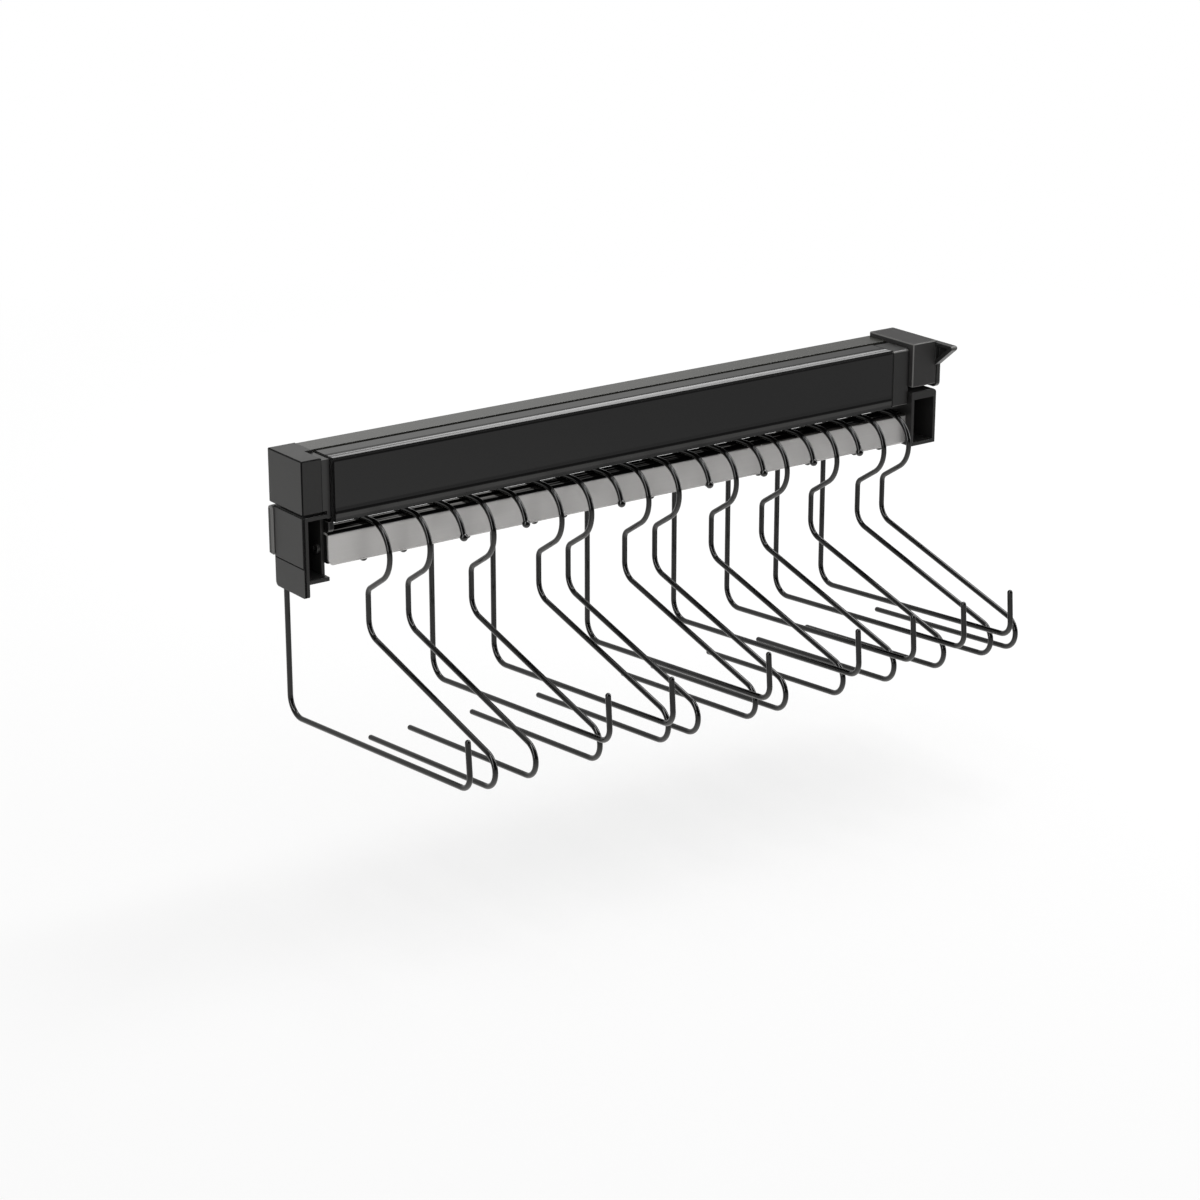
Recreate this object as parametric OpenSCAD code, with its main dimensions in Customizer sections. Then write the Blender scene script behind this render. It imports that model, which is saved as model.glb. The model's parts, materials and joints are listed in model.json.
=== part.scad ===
// Pull-out trouser rack for the side wall of a wardrobe.
// The wall is the plane Y = 0 and the rack stands out from it towards -Y.
// X runs along the rack, from the near end at the wardrobe's door to the far end at its back.
// The origin is on the axis of the middle wall screw, at the middle height of the ball slide.
// The carriage pulls out towards -X.
// Inside the modules X starts at the near end and Y is the distance out from the wall:
// standing() moves them to the origin and turns Y to -Y.

/* [Fixed rail] */
// Height of the fixed rail
rail_height = 32; // [30:1:38]
// Depth of the fixed rail, out from the wall
rail_depth = 17.5; // [16.5:0.5:20]
// Wall thickness of both extrusions
extrusion_wall = 1.8; // [1.4:0.1:2.2]
// Distance from the wall to the face that the slide is riveted to
slide_seat = 13.5; // [12:0.5:15]
// Radius of the screws' holes into the wardrobe's wall
wall_hole_r = 2.3; // [1.8:0.1:3]
// Distance between the wall screws, a multiple of 32
wall_hole_pitch = 192; // [160:32:192]
// Radius of the holes that let a screwdriver reach the wall screws
driver_hole_r = 4.6; // [4:0.1:5]

/* [Front profile] */
// Length of the front profile
profile_len = 441; // [400:1:600]
// Depth of the front profile
profile_depth = 21; // [20:0.5:24]
// Height of the front profile's top above the slide's middle
profile_rise = 16.2; // [15.5:0.1:17]
// Distance of the front profile's bottom below the slide's middle
profile_drop = 24; // [22:0.1:26]
// Slot between the fixed rail and the front profile, seen from above
slot_gap = 4.5; // [3:0.25:6]
// Radius of the front profile's top edge
profile_top_r = 2.5; // [2:0.5:4]
// Radius of the front profile's bottom edge
profile_low_r = 1.2; // [0.8:0.2:2.4]

/* [End caps and end block] */
// Length of the near cap's front part
cap_len = 14.4; // [13.5:0.1:20]
// Length of the near cap's rear part, which closes the end of the slot
cap_rear_len = 19.5; // [18:0.1:24]
// Height of the near cap
cap_height = 34; // [34:1:40]
// Distance of the near cap's front face from the wall
cap_front = 40.5; // [38:0.5:42]
// Wall thickness of the moulded pieces
mould_wall = 2.4; // [2:0.1:3]
// Length of the neck between the near cap and the front profile
neck_len = 7; // [5:0.1:10]
// Length of the far plug that shows
far_plug_len = 15; // [8:0.5:20]
// Gap between the closed carriage and the rail's end block
closing_gap = 1.2; // [0.6:0.1:3]
// Length of the rail's end block
block_len = 21.5; // [18:0.5:30]
// Distance of the end block's front face from the wall
block_front = 46; // [45:0.5:50]
// Height of the end block's top above the slide's middle
block_rise = 19; // [17.5:0.5:22]
// Distance of the end block's bottom below the slide's middle
block_drop = 11.4; // [11:0.1:12]
// Thickness of the rear end plate
plate_thick = 3; // [2:0.5:4]
// Reach of the end plate's gusset past the end block's front
gusset_reach = 16.8; // [12:0.1:30]
// Height of the end plate's gusset
gusset_height = 15.4; // [10:0.2:20]

/* [Brackets] */
// Length of the near bracket along the rack
near_bracket_len = 17.4; // [16:0.1:24]
// Height of the near bracket's open box
near_bracket_height = 42.1; // [38:0.1:50]
// How far the near bracket's outer wall hangs below its box
near_skirt = 8.5; // [4:0.5:14]
// Thickness of the near bracket's outer wall
outer_wall = 3.5; // [3:0.1:5]
// Distance of the near bracket's back from the wall
near_bracket_back = 6; // [5:0.1:9]
// Length of the far bracket along the rack
far_bracket_len = 22; // [18:0.5:26]
// Height of the far bracket
far_bracket_height = 38.1; // [37:0.1:44]
// Distance of the far bracket's back from the wall
far_bracket_back = 6; // [3:0.5:12]
// Gap between the end block and the far bracket under it
bracket_gap = 3.4; // [2:0.1:5]

/* [Hanger bar] */
// Height of the hanger bar
bar_height = 21; // [16:0.5:24]
// Depth of the hanger bar
bar_depth = 18.5; // [14:0.5:20]
// Distance of the hanger bar's front face from the wall
bar_front = 40; // [38:0.5:41]
// Distance of the hanger bar's top below the slide's middle
bar_drop = 31; // [29:0.5:34]
// Wall thickness of the hanger bar
bar_wall = 1.5; // [1:0.1:2]
// Radius of the hanger bar's long edges
bar_edge_r = 2; // [1.8:0.1:2.5]
// Radius of the rounded lower corner at the bar's near end
bar_corner_r = 5; // [2:0.5:6]

/* [Ball slide] */
// How far the carriage pulls out
pull_out = 450; // [350:10:450]
// Radius of the slide's balls
ball_r = 2; // [1.8:0.1:2]
// Balls in one row of a cage
balls_in_row = 8; // [4:1:12]
// Distance between the balls in a row
ball_pitch = 14; // [8:1:14]

/* [Hangers] */
// Diameter of the hangers' wire
wire_d = 3.5; // [2.5:0.1:4]
// Radius of the hook in front of the bar
hook_r = 19; // [16:0.5:21]
// Radius of the ball on the hook's end
hook_ball_r = 2.6; // [2.2:0.1:3]
// Distance of the stem from the wall on a shouldered hanger
shoulder_stem = 31; // [26:0.5:34]
// Straight length of a shouldered hanger's stem
shoulder_stem_len = 16; // [10:1:34]
// Fall of the neck under the hook, as a share of its length
neck_fall_share = 0.5376; // [0.28:0.0001:0.8]
// Fall of the shoulder, as a share of its length
shoulder_fall_share = 0.28; // [0.2:0.001:0.36]
// Distance of a shouldered hanger's nose from the wall
nose_reach = 170; // [130:5:200]
// Inner gap between the shoulder and the return bar at the nose
nose_gap = 19; // [16:1:26]
// Distance from the wall to the free end of the return bar
return_end = 30; // [12:1:60]
// Straight length of the stem behind the bar on a tipped hanger
back_stem_len = 100; // [90:1:120]
// Straight length of the end hanger's stem below its bracket
end_stem_len = 80; // [70:1:100]
// Distance of a tipped hanger's upturned tip from the wall
tip_reach = 208; // [170:2:220]
// Length of the upturned tip above its bend
tip_len = 20; // [12:1:40]
// Rise of the trouser bars towards the front, as a share of their length
bar_rise_share = 0.07584; // [0:0.00001:0.12]
// How far a hanger slides along the bar each way
hanger_play = 7; // [4:0.5:7.5]

/* [Fasteners] */
// Radius of the machine screws' shanks
screw_r = 2; // [1.5:0.1:2]
// Radius of the machine screws' heads
screw_head_r = 3.6; // [3:0.1:3.8]
// Height of the machine screws' heads
screw_head_h = 2.2; // [1.6:0.1:2.4]
// Radius of the rivets that join the slide to the extrusions
rivet_r = 2; // [1.5:0.1:2.3]

/* [Hidden] */
$fn = 48;
// General clearances
fit_gap = 0.1;            // round each piece that is pushed into another
shank_gap = 0.05;         // round a screw's or rivet's shank
touch_gap = 0.3;          // between pieces that almost touch
overrun = 1;              // how far a cut runs past the face that it opens
wall_clear = 0.8;         // between the moving pieces and the wardrobe's wall
mould_edge = 0.7;         // broken edges of the moulded pieces
trim_edge = 0.4;          // broken edges of the small moulded pieces

// Places along the rack
profile_start = cap_len + neck_len;
profile_end = profile_start + profile_len;
plug_seam = 1.9;          // between the front profile and the far plug's head
plug_end = profile_end + far_plug_len;
block_start = plug_end + closing_gap;
block_end = block_start + block_len;
plate_end = block_end + plate_thick;
rail_gap = 0.7;           // between the near cap and the fixed rail
rail_start = cap_rear_len + rail_gap;
far_bracket_end = block_start + far_bracket_len;

// Fixed rail, as distances out from the wall and heights
rail_half = rail_height / 2;
channel_half = rail_half - extrusion_wall;
seat_back = slide_seat - extrusion_wall;
port_r = 3.4;             // outside of the ports that the end screws are driven into
port_out = 4.8;
port_half_pitch = 8.5;
wall_hole_first = 57;     // from the near end to the first wall screw
wall_hole_count = 3;
origin_x = wall_hole_first + wall_hole_pitch;

// Ball slide, as depths out from its seat and heights from its middle
race_r = ball_r + 0.2;
member_half = channel_half - touch_gap;
web_thick = 1.5;
race_thick = 2.2;
race_dip = 0.8;           // how far a ball's groove goes into its race
outer_ball_half = member_half - race_thick + race_dip - race_r;
middle_half = outer_ball_half - race_r + race_dip;
inner_ball_half = middle_half - race_thick + race_dip - race_r;
inner_half = inner_ball_half - race_r + race_dip;
outer_ball_out = slide_seat + 6;
outer_race_depth = 12;
middle_web_out = slide_seat + 3;
inner_ball_out = slide_seat + 14.5;
middle_race_end = slide_seat + 17.5;
inner_race_start = slide_seat + 10;
mount_web_half = 12;      // half height of the inner member's mounting web
mount_web_gap = 0.8;      // between the middle member's races and that web
mount_web_out = middle_race_end + mount_web_gap;
carriage_seat = mount_web_out + web_thick;
outer_member_long = 13;   // by how much the outer member is longer than the front profile
inner_member_short = 3;   // by how much the inner member is shorter than it
member_inset = 0.5;       // from the front profile's far end to the inner member's
outer_member_len = profile_len + outer_member_long;
middle_member_len = profile_len;
inner_member_len = profile_len - inner_member_short;
outer_member_start = profile_start + 2 * member_inset;
middle_member_start = outer_member_start + 4;
inner_member_end = profile_end - member_inset;
inner_member_start = inner_member_end - inner_member_len;
cage_strip = 0.8;         // thickness of the cages' strips
cage_margin = 5;          // from the last ball to the cage's end
cage_len = (balls_in_row - 1) * ball_pitch + 2 * (ball_r + cage_margin);
outer_cage_start = middle_member_start + pull_out / 4 + 4;
inner_cage_start = outer_cage_start + 4;
outer_cage_web = slide_seat + web_thick + 0.4;
inner_cage_web = slide_seat + 7;
rivet_head_r = 3.6;
rivet_head_h = 1.1;
outer_rivet_shares = [0.11, 0.36, 0.64, 0.87];
inner_rivet_shares = [0.08, 0.5, 0.92];

// Front profile
profile_back = rail_depth + slot_gap;
profile_front = profile_back + profile_depth;
box_back = carriage_seat + extrusion_wall;
chamber_wall = extrusion_wall + 0.5;  // thicker behind the rounded edges
box_front = profile_front - chamber_wall;
chamber_top = -channel_half - extrusion_wall + 0.1;
chamber_low = chamber_wall - profile_drop;
chamber_back = profile_back + 1.6;
tongue_len = 20;          // how far the plugs reach into the front profile
lip_proud = 0.8;          // raised lip along the foot of the front profile's face
lip_high = -14.8;
lip_middle = -16.8;
lip_crest = -18.6;
lip_foot = profile_low_r - profile_drop;

// Near cap and neck
neck_back = profile_back + 0.2;
neck_front = cap_front - 1;
neck_top = profile_rise - 0.8;
neck_low = 0.4 - cap_height / 2;
end_flange = 1;           // the neck plug's flange over the front profile's end
end_flange_shy = 0.4;
neck_tongue_depth = 11.5; // how far the neck plug reaches into the near cap
neck_tongue_half = 12.5;
neck_tongue_back = neck_back + 1.8;
neck_tongue_front = neck_front - 2;

// Near bracket
near_bracket_top = -cap_height / 2 - 1.4;
near_bracket_low = near_bracket_top - near_bracket_height;
inner_wall = 2.2;         // wall towards the bar
inner_wall_shy = 5.5;     // how far this wall's front edge lies behind the others
skirt_low = near_bracket_low - near_skirt;
skirt_corner = 3;
cover_thick = 1.2;
cover_height = 31.6;
cover_margin = 0.4;
cover_front_rim = 1.2;
pad_proud = 1.6;          // how far the back pad stands past the cap's end
pad_len = 15.5;
pad_edge = 1.4;
pad_peg_r = 1.6;
near_screw_x = 9.5;
near_screw_back = 13.4;
near_screw_front = 31;
seat_boss_height = -cap_height / 2 - near_bracket_top;
boss_r = 3.6;
boss_height = 11;
socket_x = 5.7;
socket_r = 2.7;
socket_out = near_bracket_back + socket_r;
socket_height = 16;
socket_depth = 14;

// Hanger bar
bar_back = bar_front - bar_depth;
bar_mid_out = bar_front - bar_depth / 2;
bar_top = -bar_drop;
bar_low = bar_top - bar_height;
bar_mid = bar_top - bar_height / 2;
bar_start = near_bracket_len;
bar_end = block_start;
bar_plug_len = 22;
bar_screw_len = 18;

// Far bracket and carrier arm
far_bracket_top = -block_drop - bracket_gap;
far_bracket_low = far_bracket_top - far_bracket_height;
far_wall = 2.2;
far_top_wall = 3.2;
far_corner = 3;
far_lip_height = 5.4;     // height of the far bracket's lip over its opening
far_lip_thick = 2.4;
rail_pass = 0.6;          // between the far bracket and the rail that it passes under
arm_thick = 2.2;
arm_back = chamber_back + 0.4;
arm_front = box_front - 1;
arm_top = far_bracket_top - far_top_wall;
arm_low = arm_top - arm_thick;
arm_reach = 43;           // how far the arm runs into the front profile
arm_end = far_bracket_end - far_wall - 0.3;
arm_mid_out = (arm_back + arm_front) / 2;
arm_screw_inset = 31;
arm_screw_first = profile_end - arm_screw_inset;
arm_screw_pitch = 18;
bracket_screw_x = block_start + 10;
bracket_screw_spread = 3.4;
bracket_screw_grip = 2.8;

// Closing buffer
buffer_r = 3.2;
buffer_out = slide_seat + 16;
buffer_stem_r = 1.6;
buffer_barb_r = 2.2;
buffer_barb_len = 1.4;

// End plate and its screws
plate_lip = 0.4;          // how far the plate stands past the block's front
plate_foot = 2.8;         // how far the plate hangs below the block
plate_shy = 1.3;          // how far the plate's top stays below the block's
plate_corner = 4;
gusset_rim = 2.2;
gusset_len = 5;
gusset_floor = 1.5;
end_screw_grip = 14;

// Hangers: shares are of the bar's length, counted from its near end
wire_r = wire_d / 2;
wire_seat = 0.05;         // between the wire and the bar that it hangs on
hook_corner_r = 4;
hook_back = bar_back - wire_r - touch_gap;
hook_top = bar_top + wire_r + wire_seat;
hook_front = hook_back + hook_corner_r;
hook_flat = bar_depth - hook_corner_r;
// the shares of fall and rise are ones whose cosines are short decimals too
neck_angle = asin(neck_fall_share);
shoulder_slope = asin(shoulder_fall_share);
bar_rise = asin(bar_rise_share);
neck_bend_r = 6;
shoulder_bend_r = 12;
nose_r = nose_gap / 2 + wire_r;
stem_bend_r = 12.5;
tip_bend_r = 9;
ball_turn = 90 - shoulder_slope;  // of the hook that ends in a ball
tip_turn = 90;            // the tips stand square to the trouser bars, so they lean back a little
curl_run = 3;             // straight wire between the ball and the first bend
hook_run = 2.2;
place_shares = [0.071, 0.134, 0.188, 0.236, 0.289, 0.348, 0.398, 0.449, 0.496, 0.549, 0.603, 0.651, 0.701,
                0.744, 0.793, 0.837, 0.88, 0.927, 0.975];
tipped_hangers = [2, 4, 7, 10, 12, 14, 16];

HANGERS = [for (n = [0 : len(place_shares) - 1]) str("hanger_", n < 8 ? "0" : "", n + 2)];

// Helpers

// Moves what is drawn from the near end to the origin, and turns distances out from the wall to -Y
module standing() {
    translate([-origin_x, 0, 0])
        mirror([0, 1, 0])
            children();
}

// Extrudes an outline, drawn as distance out and height, along the rack
module along(start, length) {
    translate([start, 0, 0])
        rotate([90, 0, 90])
            linear_extrude(length)
                children();
}

// A box from one corner to the other
module span(low, high) {
    translate(low)
        cube(high - low);
}

module cut_rect(wide, high, cut) {
    polygon([[cut, 0], [wide - cut, 0], [wide, cut], [wide, high - cut],
        [wide - cut, high], [cut, high], [0, high - cut], [0, cut]]);
}

// A moulded block from one corner to the other, with all its edges broken
module moulded(low, high, edge) {
    size = high - low;
    translate(low)
        intersection() {
            linear_extrude(size.z)
                cut_rect(size.x, size.y, edge);
            rotate([90, 0, 90])
                linear_extrude(size.x)
                    cut_rect(size.y, size.z, edge);
            translate([0, size.y, 0])
                rotate([90, 0, 0])
                    linear_extrude(size.y)
                        cut_rect(size.x, size.z, edge);
        }
}

// A quarter of a disc, with its centre at the origin
module quarter(radius) {
    intersection() {
        circle(radius);
        square(radius);
    }
}

// A rod along X
module rod_x(start, length, radius) {
    translate([start, 0, 0])
        rotate([0, 90, 0])
            cylinder(r = radius, h = length);
}

// A rod out from the wall
module rod_out(start, length, radius) {
    translate([0, start, 0])
        rotate([-90, 0, 0])
            cylinder(r = radius, h = length);
}

// A screw that points up, with the underside of its head at the origin
module screw(grip) {
    cylinder(r = screw_r - shank_gap, h = grip);
    translate([0, 0, -screw_head_h])
        difference() {
            cylinder(r = screw_head_r, h = screw_head_h);
            translate([0, 0, -overrun])
                cylinder(r = screw_r * 0.8, h = overrun + screw_head_h / 2, $fn = 6);
        }
}

// Places a copy at each share of a stretch
module at_shares(start, length, shares) {
    for (share = shares)
        translate([start + length * share, 0, 0])
            children();
}

// Fixed rail

module wall_screw_places() {
    for (n = [0 : wall_hole_count - 1])
        translate([wall_hole_first + n * wall_hole_pitch, 0, 0])
            children();
}

module outer_rivet_places() {
    at_shares(outer_member_start, outer_member_len, outer_rivet_shares)
        children();
}

module port_places() {
    for (side = [-1, 1])
        translate([port_out, side * port_half_pitch])
            children();
}

module rail_outline() {
    difference() {
        union() {
            difference() {
                translate([0, -rail_half])
                    square([rail_depth, rail_height]);
                translate([extrusion_wall, -channel_half])
                    square([seat_back - extrusion_wall, 2 * channel_half]);
                translate([slide_seat, -channel_half])
                    square([rail_depth, 2 * channel_half]);
            }
            port_places()
                circle(port_r);
        }
        port_places()
            circle(screw_r);
    }
}

module fixed_rail() {
    color("#2b2b2c")
        standing()
            difference() {
                along(rail_start, block_start - rail_start)
                    rail_outline();
                wall_screw_places()
                    rod_out(-overrun, extrusion_wall + 2 * overrun, wall_hole_r);
                wall_screw_places()
                    rod_out(seat_back - overrun, extrusion_wall + 2 * overrun, driver_hole_r);
                outer_rivet_places()
                    rod_out(seat_back - overrun, extrusion_wall + 2 * overrun, rivet_r);
            }
}

// Ball slide

// Two flanges, one above and one below the middle, with their outer faces at this half height
module flange_pair(start, end, half, thick) {
    for (low = [-half, half - thick])
        translate([start, low])
            square([end - start, thick]);
}

module groove_pair(out, half) {
    for (side = [-1, 1])
        translate([out, side * half])
            circle(race_r);
}

module outer_member_outline() {
    lip_start = slide_seat + outer_race_depth - web_thick;
    difference() {
        union() {
            translate([slide_seat, -member_half])
                square([web_thick, 2 * member_half]);
            flange_pair(slide_seat, slide_seat + outer_race_depth, member_half, race_thick);
            flange_pair(lip_start, slide_seat + outer_race_depth, member_half, race_thick + race_dip);
        }
        groove_pair(outer_ball_out, outer_ball_half);
    }
}

module middle_member_outline() {
    difference() {
        union() {
            translate([middle_web_out, -middle_half])
                square([web_thick, 2 * middle_half]);
            flange_pair(middle_web_out, middle_race_end, middle_half, race_thick);
        }
        groove_pair(outer_ball_out, outer_ball_half);
        groove_pair(inner_ball_out, inner_ball_half);
    }
}

module inner_member_outline() {
    difference() {
        union() {
            translate([mount_web_out, -mount_web_half])
                square([web_thick, 2 * mount_web_half]);
            flange_pair(inner_race_start, mount_web_out + web_thick, inner_half, race_thick);
        }
        groove_pair(inner_ball_out, inner_ball_half);
    }
}

module slide_outer_member() {
    color("#9a9a98")
        standing()
            difference() {
                along(outer_member_start, outer_member_len)
                    outer_member_outline();
                wall_screw_places()
                    rod_out(slide_seat - overrun, web_thick + 2 * overrun, driver_hole_r);
                outer_rivet_places()
                    rod_out(slide_seat - overrun, web_thick + 2 * overrun, rivet_r);
            }
}

module outer_member_rivets() {
    color("#b5b5b3")
        standing()
            outer_rivet_places() {
                rod_out(seat_back, extrusion_wall + web_thick, rivet_r - shank_gap);
                rod_out(seat_back - rivet_head_h, rivet_head_h, rivet_head_r);
            }
}

module slide_middle_member() {
    color("#a3a3a1")
        standing()
            along(middle_member_start, middle_member_len)
                middle_member_outline();
}

module inner_rivet_places() {
    at_shares(inner_member_start, inner_member_len, inner_rivet_shares)
        children();
}

module slide_inner_member() {
    color("#9a9a98")
        standing()
            difference() {
                along(inner_member_start, inner_member_len)
                    inner_member_outline();
                inner_rivet_places()
                    rod_out(mount_web_out - overrun, web_thick + 2 * overrun, rivet_r);
            }
}

module inner_member_rivets() {
    color("#b5b5b3")
        standing()
            inner_rivet_places() {
                rod_out(mount_web_out, web_thick + extrusion_wall, rivet_r - shank_gap);
                rod_out(box_back, rivet_head_h, rivet_head_r);
            }
}

module ball_places(start, out, half) {
    for (side = [-1, 1], n = [0 : balls_in_row - 1])
        translate([start + cage_margin + ball_r + n * ball_pitch, out, side * half])
            children();
}

// Two strips joined by a web, with a pocket for each ball
module ball_cage(start, web_out, ball_out, half) {
    strip_end = ball_out + ball_r + cage_strip;
    difference() {
        along(start, cage_len) {
            translate([web_out, -half - cage_strip / 2])
                square([cage_strip, 2 * half + cage_strip]);
            flange_pair(web_out, strip_end, half + cage_strip / 2, cage_strip);
        }
        ball_places(start, ball_out, half)
            translate([0, 0, -overrun])
                cylinder(r = ball_r + fit_gap, h = 2 * overrun);
    }
}

module outer_ball_cage() {
    color("#c9b27a")
        standing()
            ball_cage(outer_cage_start, outer_cage_web, outer_ball_out, outer_ball_half);
}

module inner_ball_cage() {
    color("#c9b27a")
        standing()
            ball_cage(inner_cage_start, inner_cage_web, inner_ball_out, inner_ball_half);
}

module outer_balls() {
    color("#d0d0d0")
        standing()
            ball_places(outer_cage_start, outer_ball_out, outer_ball_half)
                sphere(r = ball_r);
}

module inner_balls() {
    color("#d0d0d0")
        standing()
            ball_places(inner_cage_start, inner_ball_out, inner_ball_half)
                sphere(r = ball_r);
}

// Far end of the fixed rail

module end_screw_places() {
    for (side = [-1, 1])
        translate([0, port_out, side * port_half_pitch])
            children();
}

module rail_end_block() {
    color("#242424")
        standing()
            difference() {
                moulded([block_start, 0, -block_drop], [block_end, block_front, block_rise], mould_edge);
                difference() {
                    span([block_start + mould_wall, mould_wall, mould_wall - block_drop],
                        [block_end + overrun, block_front - mould_wall, block_rise - mould_wall]);
                    end_screw_places()
                        rod_x(block_start, block_len, port_r);
                }
                end_screw_places()
                    rod_x(block_start - overrun, block_len + 2 * overrun, screw_r);
                translate([0, buffer_out, 0])
                    rod_x(block_start - overrun, mould_wall + 2 * overrun, buffer_stem_r + shank_gap);
            }
}

// The gusset's outline, with its tip rounded by short flats
gusset_tip = block_front + gusset_reach;
gusset_top = block_rise - plate_shy;
gusset_foot = block_front + 2 * plate_lip;
gusset_low = gusset_top - gusset_height;
gusset_tip_r = 1.3;
gusset_lean = (gusset_height - 2 * gusset_tip_r) / (gusset_tip - gusset_tip_r / 3 - gusset_foot);
gusset_inset = gusset_rim * sqrt(1 + 1 / (gusset_lean * gusset_lean));

module gusset_outline() {
    polygon([[gusset_foot - plate_corner, gusset_top], [gusset_tip - gusset_tip_r, gusset_top],
        [gusset_tip - gusset_tip_r / 3, gusset_top - gusset_tip_r / 3],
        [gusset_tip, gusset_top - gusset_tip_r],
        [gusset_tip - gusset_tip_r / 3, gusset_top - 2 * gusset_tip_r],
        [gusset_foot, gusset_low], [gusset_foot - plate_corner, gusset_low]]);
}

// The hollow that leaves a rim along the gusset's top and its sloping edge
module gusset_hollow() {
    end = gusset_tip - gusset_inset - gusset_tip_r;
    top = gusset_top - gusset_rim;
    low = top - gusset_tip_r / 2 - gusset_lean * (end - gusset_foot);
    polygon([[gusset_foot, top], [end, top], [end, top - gusset_tip_r / 2], [gusset_foot, low]]);
}

module plate_outline() {
    front = block_front + plate_lip;
    low = -block_drop - plate_foot;
    translate([0, low + plate_corner])
        square([front, block_rise - plate_shy - low - plate_corner]);
    translate([0, low])
        square([front - plate_corner, plate_corner]);
    translate([front - plate_corner, low + plate_corner])
        rotate(-90)
            quarter(plate_corner);
}

module rear_end_plate() {
    color("#2a2a2a")
        standing()
            difference() {
                union() {
                    along(block_end, plate_thick)
                        plate_outline();
                    intersection() {
                        along(plate_end - gusset_len, gusset_len)
                            gusset_outline();
                        span([block_start, block_front, -block_drop],
                            [plate_end, block_front + 2 * gusset_reach, 2 * block_rise]);
                    }
                }
                along(plate_end - gusset_len - overrun, gusset_len + overrun - gusset_floor)
                    gusset_hollow();
                end_screw_places()
                    rod_x(block_end - overrun, plate_thick + 2 * overrun, screw_r);
            }
}

module end_plate_screws() {
    color("#4a4a4a")
        standing()
            end_screw_places()
                translate([plate_end, 0, 0])
                    rotate([0, -90, 0])
                        screw(plate_thick + block_len + end_screw_grip);
}

module closing_buffer() {
    length = block_start - inner_member_end - touch_gap;
    color("#3a3a3a")
        standing()
            translate([0, buffer_out, 0]) {
                rod_x(block_start - length, length, buffer_r);
                rod_x(block_start, mould_wall, buffer_stem_r);
                rod_x(block_start + mould_wall, buffer_barb_len, buffer_barb_r);
            }
}

// Front profile and its plugs

// The front profile's outside: its two front edges are rounded
module profile_skin(back, front, low, high) {
    translate([back, low])
        square([front - profile_low_r - back, high - low]);
    translate([front - profile_low_r, low + profile_low_r])
        square([profile_low_r, high - profile_top_r - low - profile_low_r]);
    translate([front - profile_low_r, high - profile_top_r])
        square([profile_low_r - profile_top_r, profile_top_r]);
    translate([front - profile_top_r, high - profile_top_r])
        quarter(profile_top_r);
    translate([front - profile_low_r, low + profile_low_r])
        rotate(-90)
            quarter(profile_low_r);
}

// The face swells out to a crest and slopes back to its bottom edge
module profile_lip() {
    root = profile_front - extrusion_wall / 2;
    polygon([[root, lip_high], [profile_front, lip_high],
        [profile_front + lip_proud / 3, lip_middle], [profile_front + lip_proud, lip_crest],
        [profile_front, lip_foot], [root, lip_foot]]);
}

module channel_and_chamber() {
    translate([profile_back - overrun, -channel_half])
        square([carriage_seat - profile_back + overrun, 2 * channel_half]);
    translate([chamber_back, chamber_low])
        square([box_front - chamber_back, chamber_top - chamber_low]);
}

module arm_screw_places() {
    for (n = [0, 1])
        translate([arm_screw_first + n * arm_screw_pitch, arm_mid_out, 0])
            children();
}

module front_profile() {
    color("#2e2e2f")
        standing()
            difference() {
                along(profile_start, profile_len)
                    difference() {
                        union() {
                            profile_skin(profile_back, profile_front, -profile_drop, profile_rise);
                            profile_lip();
                        }
                        channel_and_chamber();
                        translate([box_back, -channel_half])
                            square([box_front - box_back, 2 * channel_half]);
                    }
                inner_rivet_places()
                    rod_out(carriage_seat - overrun, extrusion_wall + 2 * overrun, rivet_r);
                arm_screw_places()
                    translate([0, 0, -profile_drop - overrun])
                        cylinder(r = screw_r, h = chamber_low + profile_drop + 2 * overrun);
            }
}

module far_plug() {
    plug_shy = 0.5;       // how far the plug's head stays inside the profile's skin
    plug_groove = 1.2;    // depth of the seam beside it
    color("#1f1f1f")
        standing() {
            along(profile_end + plug_seam, far_plug_len - plug_seam)
                difference() {
                    profile_skin(profile_back, profile_front - plug_shy,
                        plug_shy - profile_drop, profile_rise - plug_shy);
                    channel_and_chamber();
                }
            // web in the seam, and the tongue
            difference() {
                span([profile_end, box_back + fit_gap, plug_groove - profile_drop],
                    [profile_end + plug_seam, profile_front - plug_groove, profile_rise - plug_groove]);
                span([profile_end - overrun, arm_back - fit_gap, arm_low - fit_gap],
                    [profile_end + plug_seam + overrun, arm_front + fit_gap, arm_top + fit_gap]);
            }
            span([profile_end - tongue_len, box_back + fit_gap, fit_gap - channel_half + rivet_head_h],
                [profile_end, box_front - fit_gap, channel_half - fit_gap - rivet_head_h]);
        }
}

// Near cap and neck

module near_cap() {
    half = cap_height / 2;
    color("#2a2a2a")
        standing()
            difference() {
                union() {
                    difference() {
                        union() {
                            moulded([0, wall_clear, -half], [cap_len, cap_front, half], mould_edge);
                            moulded([mould_wall, wall_clear, -half],
                                [cap_rear_len, profile_back, half], mould_edge);
                        }
                        span([mould_wall, wall_clear + mould_wall, mould_wall - half],
                            [cap_rear_len + overrun, rail_depth, half - mould_wall]);
                    }
                    translate([near_screw_x, near_screw_back, mould_wall - half])
                        cylinder(r = boss_r, h = boss_height);
                }
                span([cap_len - neck_tongue_depth - fit_gap, neck_tongue_back - fit_gap,
                        -neck_tongue_half - fit_gap],
                    [cap_len + overrun, neck_tongue_front + fit_gap, neck_tongue_half + fit_gap]);
                for (out = [near_screw_back, near_screw_front])
                    translate([near_screw_x, out, -half - overrun])
                        cylinder(r = screw_r, h = boss_height + overrun);
            }
}

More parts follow.
